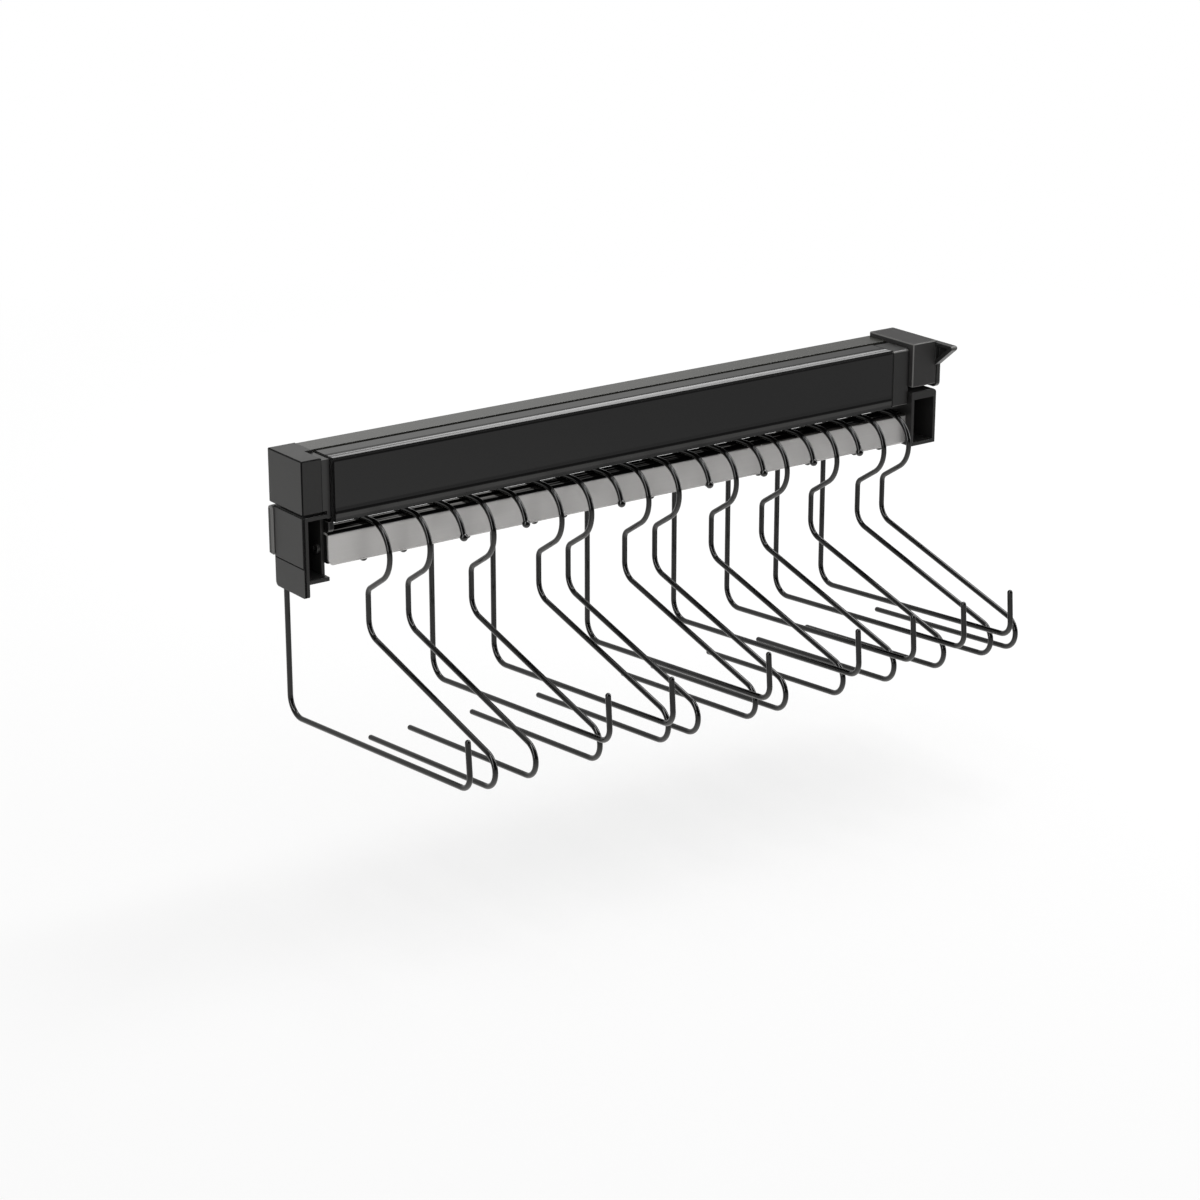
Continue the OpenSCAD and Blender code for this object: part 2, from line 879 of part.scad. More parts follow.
module neck_plug() {
    color("#262626")
        standing()
            difference() {
                union() {
                    span([cap_len, neck_back, neck_low], [profile_start, neck_front, neck_top]);
                    along(profile_start - end_flange, end_flange)
                        profile_skin(neck_back, profile_front - end_flange_shy,
                            end_flange_shy - profile_drop, profile_rise - end_flange_shy);
                    span([cap_len - neck_tongue_depth, neck_tongue_back, -neck_tongue_half],
                        [cap_len, neck_tongue_front, neck_tongue_half]);
                    span([near_bracket_len + touch_gap, neck_back + 2, chamber_low + fit_gap],
                        [profile_start, neck_front, neck_low]);
                    span([profile_start, box_back + fit_gap, fit_gap - channel_half + rivet_head_h],
                        [profile_start + tongue_len, box_front - fit_gap,
                            channel_half - fit_gap - rivet_head_h]);
                    span([profile_start, chamber_back + fit_gap, chamber_low + fit_gap],
                        [profile_start + tongue_len, box_front - fit_gap, chamber_top - fit_gap]);
                }
                translate([near_screw_x, near_screw_front, -cap_height])
                    cylinder(r = screw_r, h = cap_height / 2 + boss_height);
            }
}

// Near bracket

module near_screw_places() {
    for (out = [near_screw_back, near_screw_front])
        translate([near_screw_x, out, near_bracket_top - mould_wall])
            children();
}

module skirt_outline() {
    depth = cap_front - near_bracket_back;
    height = near_bracket_top - skirt_low;
    translate([near_bracket_back, skirt_low + skirt_corner])
        square([depth, height - skirt_corner]);
    translate([near_bracket_back + skirt_corner, skirt_low])
        square([depth - skirt_corner - skirt_corner / 2, skirt_corner]);
    translate([near_bracket_back + skirt_corner, skirt_low + skirt_corner])
        rotate(180)
            quarter(skirt_corner);
    translate([cap_front - skirt_corner / 2, skirt_low + skirt_corner / 2])
        rotate(-90)
            quarter(skirt_corner / 2);
    translate([cap_front - skirt_corner / 2, skirt_low + skirt_corner / 2])
        square(skirt_corner / 2);
}

module near_bracket() {
    back = near_bracket_back;
    color("#2c2c2c")
        standing()
            difference() {
                union() {
                    difference() {
                        span([0, back, near_bracket_low], [near_bracket_len, cap_front, near_bracket_top]);
                        span([outer_wall, back + mould_wall, near_bracket_low + mould_wall],
                            [near_bracket_len - inner_wall, cap_front + overrun,
                                near_bracket_top - mould_wall]);
                    }
                    along(0, outer_wall)
                        skirt_outline();
                    span([outer_wall, back + mould_wall, near_bracket_top],
                        [near_bracket_len - inner_wall, cap_front - outer_wall,
                            near_bracket_top + seat_boss_height]);
                    translate([socket_x, socket_out, near_bracket_low])
                        cylinder(r = socket_r, h = socket_height);
                }
                span([near_bracket_len - inner_wall - overrun, cap_front - inner_wall_shy,
                        near_bracket_low + mould_wall],
                    [near_bracket_len + overrun, cap_front + overrun, near_bracket_top - mould_wall]);
                // seat and driver hole of the side cover
                span([-overrun, back + cover_margin - fit_gap, near_bracket_top - cover_height - fit_gap],
                    [cover_thick, cap_front - cover_front_rim + fit_gap, near_bracket_top + overrun]);
                translate([0, bar_mid_out, bar_mid]) {
                    rod_x(-overrun, outer_wall + 2 * overrun, driver_hole_r);
                    rod_x(near_bracket_len - inner_wall - overrun, inner_wall + 2 * overrun, screw_r);
                }
                near_screw_places()
                    translate([0, 0, -overrun])
                        cylinder(r = screw_r, h = mould_wall + seat_boss_height + 2 * overrun);
                translate([socket_x, socket_out, near_bracket_low - overrun])
                    cylinder(r = wire_r + shank_gap, h = socket_depth + overrun);
                pad_peg_places()
                    rod_out(back - overrun, mould_wall + 2 * overrun, pad_peg_r + shank_gap);
            }
}

module bracket_cover() {
    color("#303030")
        standing() {
            span([0, near_bracket_back + cover_margin, near_bracket_top - cover_height],
                [cover_thick, cap_front - cover_front_rim, near_bracket_top - cover_margin]);
            translate([0, bar_mid_out, bar_mid])
                rod_x(cover_thick, outer_wall - cover_thick, driver_hole_r - fit_gap);
        }
}

module pad_peg_places() {
    for (share = [0.3, 0.7])
        translate([pad_len * 0.6, 0, near_bracket_top - cover_height * share])
            children();
}

module bracket_back_pad() {
    color("#202020")
        standing() {
            moulded([-pad_proud, wall_clear, near_bracket_top - cover_height],
                [pad_len, near_bracket_back, near_bracket_top - cover_margin], pad_edge);
            pad_peg_places()
                rod_out(near_bracket_back, mould_wall, pad_peg_r);
        }
}

module bracket_screws() {
    color("#4a4a4a")
        standing()
            near_screw_places()
                screw(mould_wall + seat_boss_height + boss_height - overrun);
}

// Hanger bar

module rounded_rect(low, high, radius) {
    size = high - low;
    translate([low.x + radius, low.y])
        square([size.x - 2 * radius, size.y]);
    for (side = [low.x, high.x - radius])
        translate([side, low.y + radius])
            square([radius, size.y - 2 * radius]);
    translate([high.x - radius, high.y - radius])
        quarter(radius);
    translate([low.x + radius, high.y - radius])
        rotate(90)
            quarter(radius);
    translate([high.x - radius, low.y + radius])
        rotate(-90)
            quarter(radius);
    translate([low.x + radius, low.y + radius])
        rotate(180)
            quarter(radius);
}

// What the rounded lower corner takes off the bar's near end
module corner_waste() {
    translate([bar_start - overrun, 0, bar_low - overrun])
        difference() {
            cube([bar_corner_r + overrun, bar_front + overrun, bar_corner_r + overrun]);
            translate([bar_corner_r + overrun, 0, bar_corner_r + overrun])
                rod_out(-overrun, bar_front + 3 * overrun, bar_corner_r);
        }
}

module hanger_bar() {
    color("#a5a19e")
        standing()
            difference() {
                along(bar_start, bar_end - bar_start)
                    difference() {
                        rounded_rect([bar_back, bar_low], [bar_front, bar_top], bar_edge_r);
                        translate([bar_back + bar_wall, bar_low + bar_wall])
                            square([bar_depth - 2 * bar_wall, bar_height - 2 * bar_wall]);
                    }
                corner_waste();
            }
}

module bar_plug(start) {
    color("#1c1c1c")
        standing()
            difference() {
                span([start, bar_back + bar_wall + fit_gap, bar_low + bar_wall + fit_gap],
                    [start + bar_plug_len, bar_front - bar_wall - fit_gap, bar_top - bar_wall - fit_gap]);
                translate([0, bar_mid_out, bar_mid])
                    rod_x(start - overrun, bar_plug_len + 2 * overrun, screw_r);
            }
}

module near_bar_plug() {
    bar_plug(bar_start);
}

module far_bar_plug() {
    bar_plug(bar_end - bar_plug_len);
}

module bar_screws() {
    color("#4a4a4a")
        standing()
            translate([0, bar_mid_out, bar_mid]) {
                translate([near_bracket_len - inner_wall, 0, 0])
                    rotate([0, 90, 0])
                        screw(inner_wall + bar_screw_len);
                translate([bar_end + far_wall, 0, 0])
                    rotate([0, -90, 0])
                        screw(far_wall + bar_screw_len);
            }
}

// Far bracket and carrier arm

module bracket_screw_places() {
    for (side = [-1, 1])
        translate([bracket_screw_x, arm_mid_out + side * bracket_screw_spread, 0])
            children();
}

module far_bracket_outline() {
    translate([block_start, far_bracket_low])
        square([far_bracket_len, far_bracket_height - far_corner]);
    translate([block_start, far_bracket_top - far_corner])
        square([far_bracket_len - far_corner, far_corner]);
    translate([far_bracket_end - far_corner, far_bracket_top - far_corner])
        quarter(far_corner);
}

module far_bracket() {
    color("#262626")
        standing()
            difference() {
                translate([0, block_front, 0])
                    rotate([90, 0, 0])
                        linear_extrude(block_front - far_bracket_back)
                            far_bracket_outline();
                span([block_start + far_wall, far_bracket_back + far_wall, far_bracket_low + mould_wall],
                    [far_bracket_end - far_wall, block_front - far_lip_thick,
                        far_bracket_top - far_top_wall]);
                span([block_start + far_wall, far_bracket_back + far_wall, far_bracket_low + mould_wall],
                    [far_bracket_end - far_wall, block_front + overrun, far_bracket_top - far_lip_height]);
                // rebate that clears the fixed rail
                span([block_start - overrun, far_bracket_back - overrun, -rail_half - rail_pass],
                    [far_bracket_end + overrun, rail_depth + rail_pass, far_bracket_top + overrun]);
                // slot for the carrier arm
                span([block_start - overrun, arm_back - fit_gap, arm_low - fit_gap],
                    [block_start + far_wall + overrun, arm_front + fit_gap, arm_top]);
                translate([0, bar_mid_out, bar_mid])
                    rod_x(block_start - overrun, far_wall + 2 * overrun, screw_r);
                bracket_screw_places()
                    translate([0, 0, arm_top - overrun])
                        cylinder(r = screw_r, h = bracket_screw_grip + overrun);
            }
}

module carrier_arm() {
    color("#6d6d6b")
        standing()
            difference() {
                span([profile_end - arm_reach, arm_back, arm_low], [arm_end, arm_front, arm_top]);
                arm_screw_places()
                    translate([0, 0, arm_low - overrun])
                        cylinder(r = screw_r, h = arm_thick + 2 * overrun);
                bracket_screw_places()
                    translate([0, 0, arm_low - overrun])
                        cylinder(r = screw_r, h = arm_thick + 2 * overrun);
            }
}

module arm_screws() {
    color("#4a4a4a")
        standing() {
            arm_screw_places()
                translate([0, 0, -profile_drop])
                    screw(profile_drop + arm_top);
            bracket_screw_places()
                translate([0, 0, arm_low])
                    screw(arm_thick + bracket_screw_grip);
        }
}

// Hangers, bent from wire in one plane

// A half turn of wire round the origin
module half_turn(radius) {
    rotate([0, 0, -90])
        rotate_extrude(angle = 180)
            translate([radius, 0])
                circle(wire_r);
}

// A bend that starts at the origin along X: the half turn less all that lies past the bend's end
module bend(radius, angle) {
    side = sign(angle) * radius;
    difference() {
        translate([0, side, 0])
            half_turn(radius);
        translate([radius * sin(abs(angle)), side * (1 - cos(angle)), 0])
            rotate([0, 0, angle])
                translate([0, -3 * radius, -2 * wire_r])
                    cube([3 * radius, 6 * radius, 4 * wire_r]);
    }
}

// The wire's rounded free end
module wire_end() {
    rotate([0, 90, 0])
        rotate_extrude()
            quarter(wire_r);
}

// Lays the wire: each step runs straight and then bends, with a left bend positive
module wire(steps, n = 0) {
    if (n < len(steps)) {
        run = steps[n][0];
        radius = steps[n][1];
        angle = steps[n][2];
        if (run > 0)
            rotate([0, 90, 0])
                cylinder(r = wire_r, h = run);
        translate([run, 0, 0]) {
            if (angle != 0)
                bend(radius, angle);
            translate([radius * sin(abs(angle)), sign(angle) * radius * (1 - cos(angle)), 0])
                rotate([0, 0, angle])
                    wire(steps, n + 1);
        }
    } else {
        wire_end();
    }
}

// Sets a flat wire, drawn as distance out and height, in its plane across the rack
module across(x) {
    color("#1b1b1c")
        translate([x - origin_x, 0, 0])
            rotate([90, 0, -90])
                children();
}

// Shouldered hanger: hook over the bar, neck, stem, sloping shoulder, nose and return bar.
// Its runs follow from where the stem, the nose and the return bar's end have to be.
front_turn = 180 - neck_angle;
sweep_end_out = hook_front + hook_flat + hook_r * sin(front_turn);
neck_run = (sweep_end_out - neck_bend_r * (1 - cos(90 - neck_angle)) - shoulder_stem) / cos(neck_angle);
shoulder_start_out = shoulder_stem + shoulder_bend_r * (1 - sin(shoulder_slope));
nose_turn = 180 - shoulder_slope - bar_rise;
shoulder_end_out = nose_reach - wire_r - nose_r * (1 - sin(shoulder_slope));
shoulder_run = (shoulder_end_out - shoulder_start_out) / cos(shoulder_slope);
return_start_out = nose_reach - wire_r - nose_r * (1 - sin(bar_rise));
return_run = (return_start_out - return_end) / cos(bar_rise);
curl_out = hook_back + hook_corner_r;
curl_height = bar_low - hook_ball_r - 2 * touch_gap;
back_run = hook_top - hook_corner_r - curl_height - hook_corner_r;

module shouldered_hanger(x) {
    across(x)
        translate([curl_out + curl_run, curl_height, 0]) {
            sphere(r = hook_ball_r);
            rotate([0, 0, 180])
                wire([[curl_run, hook_corner_r, -90],
                    [back_run, hook_corner_r, -90],
                    [hook_flat, hook_r, -front_turn],
                    [neck_run, neck_bend_r, 90 - neck_angle],
                    [shoulder_stem_len, shoulder_bend_r, 90 - shoulder_slope],
                    [shoulder_run, nose_r, -nose_turn],
                    [return_run, 0, 0]]);
        }
}

// Tipped hanger: ball in front of the bar, hook, stem behind the bar, trouser bar and upturned tip
trouser_bar_start = hook_back + stem_bend_r * cos(bar_rise);
tip_bend_out = tip_reach - tip_bend_r;

module tipped_hanger(x) {
    trouser_run = (tip_bend_out - hook_back - stem_bend_r) / cos(bar_rise);
    across(x)
        translate([hook_front + hook_flat + hook_r * sin(ball_turn) + hook_run * cos(ball_turn),
                hook_top - hook_r * (1 - cos(ball_turn)) - hook_run * sin(ball_turn), 0]) {
            sphere(r = hook_ball_r);
            rotate([0, 0, 180 - ball_turn])
                wire([[hook_run, hook_r, ball_turn],
                    [hook_flat, hook_corner_r, 90],
                    [back_stem_len, stem_bend_r, 90 + bar_rise],
                    [trouser_run, tip_bend_r, tip_turn],
                    [tip_len, 0, 0]]);
        }
}

// End hanger: the same trouser bar, with its stem seated in the near bracket
module end_hanger() {
    trouser_run = (tip_bend_out - socket_out - stem_bend_r) / cos(bar_rise);
    across(socket_x)
        translate([socket_out, near_bracket_low + socket_depth - fit_gap, 0])
            rotate([0, 0, -90])
                wire([[socket_depth + end_stem_len, stem_bend_r, 90 + bar_rise],
                    [trouser_run, tip_bend_r, tip_turn],
                    [tip_len, 0, 0]]);
}

module hanger(n) {
    x = bar_start + place_shares[n] * (bar_end - bar_start);
    if (len(search(n, tipped_hangers)) > 0)
        tipped_hanger(x);
    else
        shouldered_hanger(x);
}

fixed_rail();
slide_outer_member();
outer_member_rivets();
rail_end_block();
rear_end_plate();
end_plate_screws();
closing_buffer();
slide_middle_member();
outer_ball_cage();
outer_balls();
inner_ball_cage();
inner_balls();
slide_inner_member();
inner_member_rivets();
front_profile();
near_cap();
neck_plug();
far_plug();
near_bracket();
bracket_cover();
bracket_back_pad();
bracket_screws();
carrier_arm();
arm_screws();
far_bracket();
hanger_bar();
near_bar_plug();
far_bar_plug();
bar_screws();
end_hanger();
for (n = [0 : len(HANGERS) - 1])
    hanger(n);
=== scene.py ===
"""Pull-out trouser rack: looks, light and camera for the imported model."""

import json
import math

import bmesh
import bpy
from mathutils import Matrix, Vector


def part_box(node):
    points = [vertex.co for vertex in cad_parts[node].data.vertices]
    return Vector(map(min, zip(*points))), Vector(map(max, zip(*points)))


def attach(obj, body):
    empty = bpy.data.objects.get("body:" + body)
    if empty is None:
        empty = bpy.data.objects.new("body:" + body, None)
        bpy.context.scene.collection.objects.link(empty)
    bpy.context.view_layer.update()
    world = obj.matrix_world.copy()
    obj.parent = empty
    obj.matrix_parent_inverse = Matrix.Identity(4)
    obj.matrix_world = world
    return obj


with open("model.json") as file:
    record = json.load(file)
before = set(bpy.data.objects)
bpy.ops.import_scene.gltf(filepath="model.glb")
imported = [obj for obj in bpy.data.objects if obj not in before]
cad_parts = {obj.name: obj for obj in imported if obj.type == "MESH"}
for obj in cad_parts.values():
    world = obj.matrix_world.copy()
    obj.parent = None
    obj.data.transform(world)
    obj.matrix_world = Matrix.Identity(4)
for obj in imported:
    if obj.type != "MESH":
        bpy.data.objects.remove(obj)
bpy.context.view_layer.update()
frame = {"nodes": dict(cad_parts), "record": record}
nodes = frame["nodes"]
scene = bpy.context.scene


# Camera: its place and its angle were solved from the photograph's corners

CAMERA_PLACE = (-1.14112, -1.56534, 0.53015)
YAW = math.radians(36.09)
PITCH = math.radians(18.83)
SENSOR_WIDTH = 36.0
FOCAL_LENGTH = 92.57
CLIP_START, CLIP_END = 0.05, 50.0

forward = Vector((math.sin(YAW) * math.cos(PITCH), math.cos(YAW) * math.cos(PITCH), -math.sin(PITCH)))
camera_data = bpy.data.cameras.new("camera")
camera_data.sensor_width = SENSOR_WIDTH
camera_data.lens = FOCAL_LENGTH
camera_data.clip_start = CLIP_START
camera_data.clip_end = CLIP_END
camera = bpy.data.objects.new("camera", camera_data)
camera.location = CAMERA_PLACE
camera.rotation_euler = forward.to_track_quat("-Z", "Y").to_euler()
scene.collection.objects.link(camera)
scene.camera = camera


# Shader nodes

UNSTRETCHED = (1.0, 1.0, 1.0)
WHITE = (1.0, 1.0, 1.0)


def feed(tree, node, inputs):
    """Gives each input another node's output or a plain value. Colours are three numbers."""
    for name, value in inputs.items():
        socket = node.inputs[name]
        if isinstance(value, bpy.types.NodeSocket):
            tree.links.new(value, socket)
        elif socket.type == "RGBA":
            socket.default_value = (*value, 1.0)
        else:
            socket.default_value = value


def add(tree, kind, inputs=None, **settings):
    """A new node with its settings and its inputs."""
    node = tree.nodes.new(kind)
    for name, value in settings.items():
        setattr(node, name, value)
    feed(tree, node, inputs or {})
    return node


def coordinates(tree, scale=UNSTRETCHED):
    """Object coordinates, which are metres in the part's own frame, stretched by the scale."""
    place = add(tree, "ShaderNodeTexCoord").outputs["Object"]
    return add(tree, "ShaderNodeMapping", {"Vector": place, "Scale": scale}).outputs["Vector"]


def parts(tree, vector):
    """The X, Y and Z of a vector."""
    return add(tree, "ShaderNodeSeparateXYZ", {0: vector}).outputs


def place_parts(tree):
    return parts(tree, coordinates(tree))


def normal_parts(tree):
    return parts(tree, add(tree, "ShaderNodeNewGeometry").outputs["Normal"])


def noise(tree, vector, scale=1.0, detail=2.0, rough=0.5):
    inputs = {"Vector": vector, "Scale": scale, "Detail": detail, "Roughness": rough}
    return add(tree, "ShaderNodeTexNoise", inputs).outputs["Fac"]


def ranged(tree, value, low, high, from_low=0.3, from_high=0.7):
    """Low where the value is from_low, high where it is from_high, and in proportion between them."""
    inputs = {"Value": value, "From Min": from_low, "From Max": from_high, "To Min": low, "To Max": high}
    return add(tree, "ShaderNodeMapRange", inputs).outputs["Result"]


def rising(tree, value, start, end):
    """0 up to the start, 1 from the end on."""
    return ranged(tree, value, 0.0, 1.0, start, end)


def falling(tree, value, start, end):
    """1 up to the start, 0 from the end on."""
    return ranged(tree, value, 1.0, 0.0, start, end)


def computed(tree, operation, *values):
    return add(tree, "ShaderNodeMath", dict(enumerate(values)), operation=operation).outputs[0]


def along(tree, vector, axis):
    """How far the vector points along the axis."""
    return add(tree, "ShaderNodeVectorMath", {0: vector, 1: axis}, operation="DOT_PRODUCT").outputs["Value"]


def mixed(tree, factor, first, second, kind="RGBA"):
    """The first colour where the factor is 0, the second where it is 1. With kind FLOAT, two numbers."""
    inputs = {"Factor": factor, "A": first, "B": second}
    return add(tree, "ShaderNodeMix", inputs, data_type=kind).outputs["Result"]


def mix_shader(tree, factor, first, second):
    return add(tree, "ShaderNodeMixShader", {0: factor, 1: first, 2: second}).outputs[0]


def add_shader(tree, first, second):
    return add(tree, "ShaderNodeAddShader", {0: first, 1: second}).outputs[0]


def any_ray(tree, *kinds):
    """1 for rays of any of these kinds, 0 for the rest."""
    path = add(tree, "ShaderNodeLightPath")
    total = path.outputs[kinds[0]]
    for kind in kinds[1:]:
        total = computed(tree, "MAXIMUM", total, path.outputs[kind])
    return total


# Materials

BEVEL_SAMPLES = 12
EDGE_FULL, EDGE_GONE = 0.86, 0.97               # the normal's largest part on a rounded edge and beside it
# the black of the painted shade lines
SHADE_BLACK = (0.0005, 0.0005, 0.0005)

DIE_LINE_DEPTH = 0.00003
GRAIN_SCALE, GRAIN_DEPTH, GRAIN_STRENGTH = 2600.0, 0.00003, 0.1
MOULD_CLOUD = 38.0                              # scale of the moulded plastic's uneven patches
MOULD_LEVEL = 0.26                              # how strongly the moulded plastic mirrors

LIP_CREST, LIP_FOOT = -0.0186, -0.0214          # heights on the front profile's face
LIP_SOFT = 0.0006                               # how far the paler tone of the painted floor reflection takes to fade out
CROWN_START, CROWN_END = -0.0315, -0.0425       # depths across the front profile's top
CROWN_DROP = 0.006

SEAM_SHADE_WIDTH = 0.0016                             # black band painted as the shade in the seam between the neck and the front profile
COVER_SHADOW_LINE = 0.0009                             # painted shadow: black line under the bracket's side cover
CORNER_SHADE_LINE = 0.0014                            # painted shade: black line down the bracket's front corner
OUTER_SKIN = 0.0004                             # how deep the bracket's outer face reaches
SHARP = 0.0001                                  # how far a drawn line takes to fade out


def new_material(name):
    mat = bpy.data.materials.new(name)
    mat.use_nodes = True
    return mat, mat.node_tree, shader_of(mat)


def shader_of(mat):
    return mat.node_tree.nodes["Principled BSDF"]


def source(node, name):
    """The output that feeds this input of the node."""
    return node.inputs[name].links[0].from_socket


def finish_normal(tree, shader, height, distance, strength, edge):
    """A bump from the height, over edges that are rounded in the shading if a radius is given."""
    bump = add(tree, "ShaderNodeBump", {"Height": height, "Distance": distance, "Strength": strength})
    if edge:
        bevel = add(tree, "ShaderNodeBevel", {"Radius": edge}, samples=BEVEL_SAMPLES)
        feed(tree, bump, {"Normal": bevel.outputs["Normal"]})
    feed(tree, shader, {"Normal": bump.outputs["Normal"]})


def edge_factor(tree):
    """1 where a rounded corner turns away from the piece's square faces."""
    x, y, z = [computed(tree, "ABSOLUTE", part) for part in normal_parts(tree)]
    largest = computed(tree, "MAXIMUM", computed(tree, "MAXIMUM", x, y), z)
    return falling(tree, largest, EDGE_FULL, EDGE_GONE)


def blacken(mat, line):
    """Turns the material matt black where the line is 1: painted shade."""
    tree, shader = mat.node_tree, shader_of(mat)
    colour = mixed(tree, line, source(shader, "Base Color"), SHADE_BLACK)
    rough = mixed(tree, line, source(shader, "Roughness"), 1.0, "FLOAT")
    feed(tree, shader, {"Base Color": colour, "Roughness": rough})
    return mat


def anodised(name, dark, pale, rough, lines, strength, level, edge):
    """Black anodised extrusion: fine die lines along its length, a satin sheen and slightly uneven black."""
    mat, tree, shader = new_material(name)
    drawn = noise(tree, coordinates(tree, lines), detail=3.0, rough=0.6)
    cloud = noise(tree, coordinates(tree, (9.0, 22.0, 22.0)))
    feed(tree, shader, {"Base Color": mixed(tree, cloud, dark, pale),
                        "Roughness": ranged(tree, cloud, *rough), "Specular IOR Level": level})
    finish_normal(tree, shader, drawn, DIE_LINE_DEPTH, strength, edge)
    return mat


def profile_black(name):
    """The front profile's finish: the anodised black, a paler band along its foot painted as the floor's
    reflection, and a crowned top.
    """
    mat = anodised(name, (0.0035, 0.0035, 0.0037), (0.0065, 0.0063, 0.006), (0.13, 0.18),
                   lines=(4.0, 1400.0, 1400.0), strength=0.01, level=0.36, edge=None)
    tree, shader = mat.node_tree, shader_of(mat)
    place = place_parts(tree)
    below_crest = falling(tree, place["Z"], LIP_CREST, LIP_CREST + LIP_SOFT)
    above_foot = rising(tree, place["Z"], LIP_FOOT - 0.0004, LIP_FOOT + LIP_SOFT)
    floor_reflection_band = computed(tree, "MULTIPLY", below_crest, above_foot)
    # painted reflection: the band is paler, standing for the floor mirrored in the foot of the face
    feed(tree, shader, {"Base Color": mixed(tree, floor_reflection_band, source(shader, "Base Color"), (0.03, 0.0295, 0.0285))})
    # the top begins to fall away some way behind the rounded front edge
    fall = computed(tree, "POWER", rising(tree, place["Y"], CROWN_START, CROWN_END), 2.0)
    inputs = {"Height": fall, "Distance": CROWN_DROP, "Strength": 1.0}
    crown = add(tree, "ShaderNodeBump", inputs, invert=True)
    feed(tree, source(shader, "Normal").node, {"Normal": crown.outputs["Normal"]})
    return mat


def moulded(name, dark=(0.02, 0.0198, 0.0194), pale=(0.026, 0.0257, 0.025), rough=(0.3, 0.36),
            level=MOULD_LEVEL, edge_highlight=(0.17, 0.168, 0.164), edge=0.0006):
    """Black moulded plastic: a fine spark-eroded grain, and its rounded edges painted pale as a highlight
    unless that colour is None.
    """
    mat, tree, shader = new_material(name)
    vector = coordinates(tree)
    grain = noise(tree, vector, GRAIN_SCALE, rough=0.55)
    cloud = noise(tree, vector, MOULD_CLOUD, detail=3.0)
    plastic = mixed(tree, cloud, dark, pale)
    # the rounded edges are painted pale: a painted highlight
    if edge_highlight:
        plastic = mixed(tree, edge_factor(tree), plastic, edge_highlight)
    feed(tree, shader, {"Base Color": plastic,
                        "Roughness": ranged(tree, cloud, *rough), "Specular IOR Level": level})
    finish_normal(tree, shader, grain, GRAIN_DEPTH, GRAIN_STRENGTH, edge)
    return mat


def dark_edged(name):
    """The same plastic with its rounded edges painted black: painted shade."""
    mat = moulded(name, edge_highlight=None)
    return blacken(mat, edge_factor(mat.node_tree))


def bracket_plastic(name):
    """Dark edged, with painted shade: a black line under the side cover and down the front corner of the outer
    wall.
    """
    mat = dark_edged(name)
    tree = mat.node_tree
    place, facing = place_parts(tree), normal_parts(tree)
    outer_face, cover_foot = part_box("near_bracket")[0][0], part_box("bracket_cover")[0][2]
    outside = falling(tree, place["X"], outer_face + OUTER_SKIN, outer_face + OUTER_SKIN + SHARP)
    under = rising(tree, place["Z"], cover_foot - COVER_SHADOW_LINE - SHARP, cover_foot - COVER_SHADOW_LINE)
    corner = falling(tree, place["X"], outer_face + CORNER_SHADE_LINE, outer_face + CORNER_SHADE_LINE + SHARP)
    to_front = falling(tree, facing["Y"], -0.9, -0.6)
    # the black lines are painted shade, in the joint under the cover and along the front corner
    return blacken(mat, computed(tree, "MAXIMUM", computed(tree, "MULTIPLY", outside, under),
                                 computed(tree, "MULTIPLY", corner, to_front)))


def neck_plastic(name):
    """The near cap's moulding, painted a little paler to lift the shade the neck sits in, and a black band of
    painted shade where the front profile begins.
    """
    mat = moulded(name, (0.037, 0.0367, 0.036), (0.046, 0.0455, 0.0447), (0.3, 0.3), edge_highlight=None, edge=0.0004)
    tree = mat.node_tree
    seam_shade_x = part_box("front_profile")[0][0] - SEAM_SHADE_WIDTH
    return blacken(mat, rising(tree, place_parts(tree)["X"], seam_shade_x - SHARP / 2, seam_shade_x + SHARP / 2))


def wire_paint(name):
    """Gloss black coating on the wires, with the faint orange peel of powder."""
    mat, tree, shader = new_material(name)
    peel = noise(tree, coordinates(tree), 520.0)
    cloud = noise(tree, coordinates(tree), 60.0)
    # painted reflection: the coat is painted greyest along the underside, standing for the pale floor it faces
    under = falling(tree, normal_parts(tree)["Z"], -0.85, 0.1)
    coat = mixed(tree, cloud, (0.001, 0.001, 0.001), (0.0025, 0.0024, 0.0023))
    underside_reflection = mixed(tree, cloud, (0.12, 0.118, 0.115), (0.15, 0.148, 0.144))
    feed(tree, shader, {"Base Color": mixed(tree, under, coat, underside_reflection),
                        "Roughness": ranged(tree, cloud, 0.06, 0.1), "Specular IOR Level": 0.34})
    finish_normal(tree, shader, peel, 0.0001, 0.012, None)
    return mat


def brushed(name, dark, pale, rough, lines=(6.0, 900.0, 900.0)):
    """Brushed or rolled metal, with its lines along X unless they are told otherwise."""
    mat, tree, shader = new_material(name)
    drawn = noise(tree, coordinates(tree, lines), detail=4.0, rough=0.65)
    cloud = noise(tree, coordinates(tree, (7.0, 30.0, 30.0)))
    feed(tree, shader, {"Base Color": mixed(tree, drawn, dark, pale),
                        "Roughness": ranged(tree, cloud, *rough), "Metallic": 1.0})
    finish_normal(tree, shader, drawn, 0.00004, 0.14, 0.0003)
    return mat


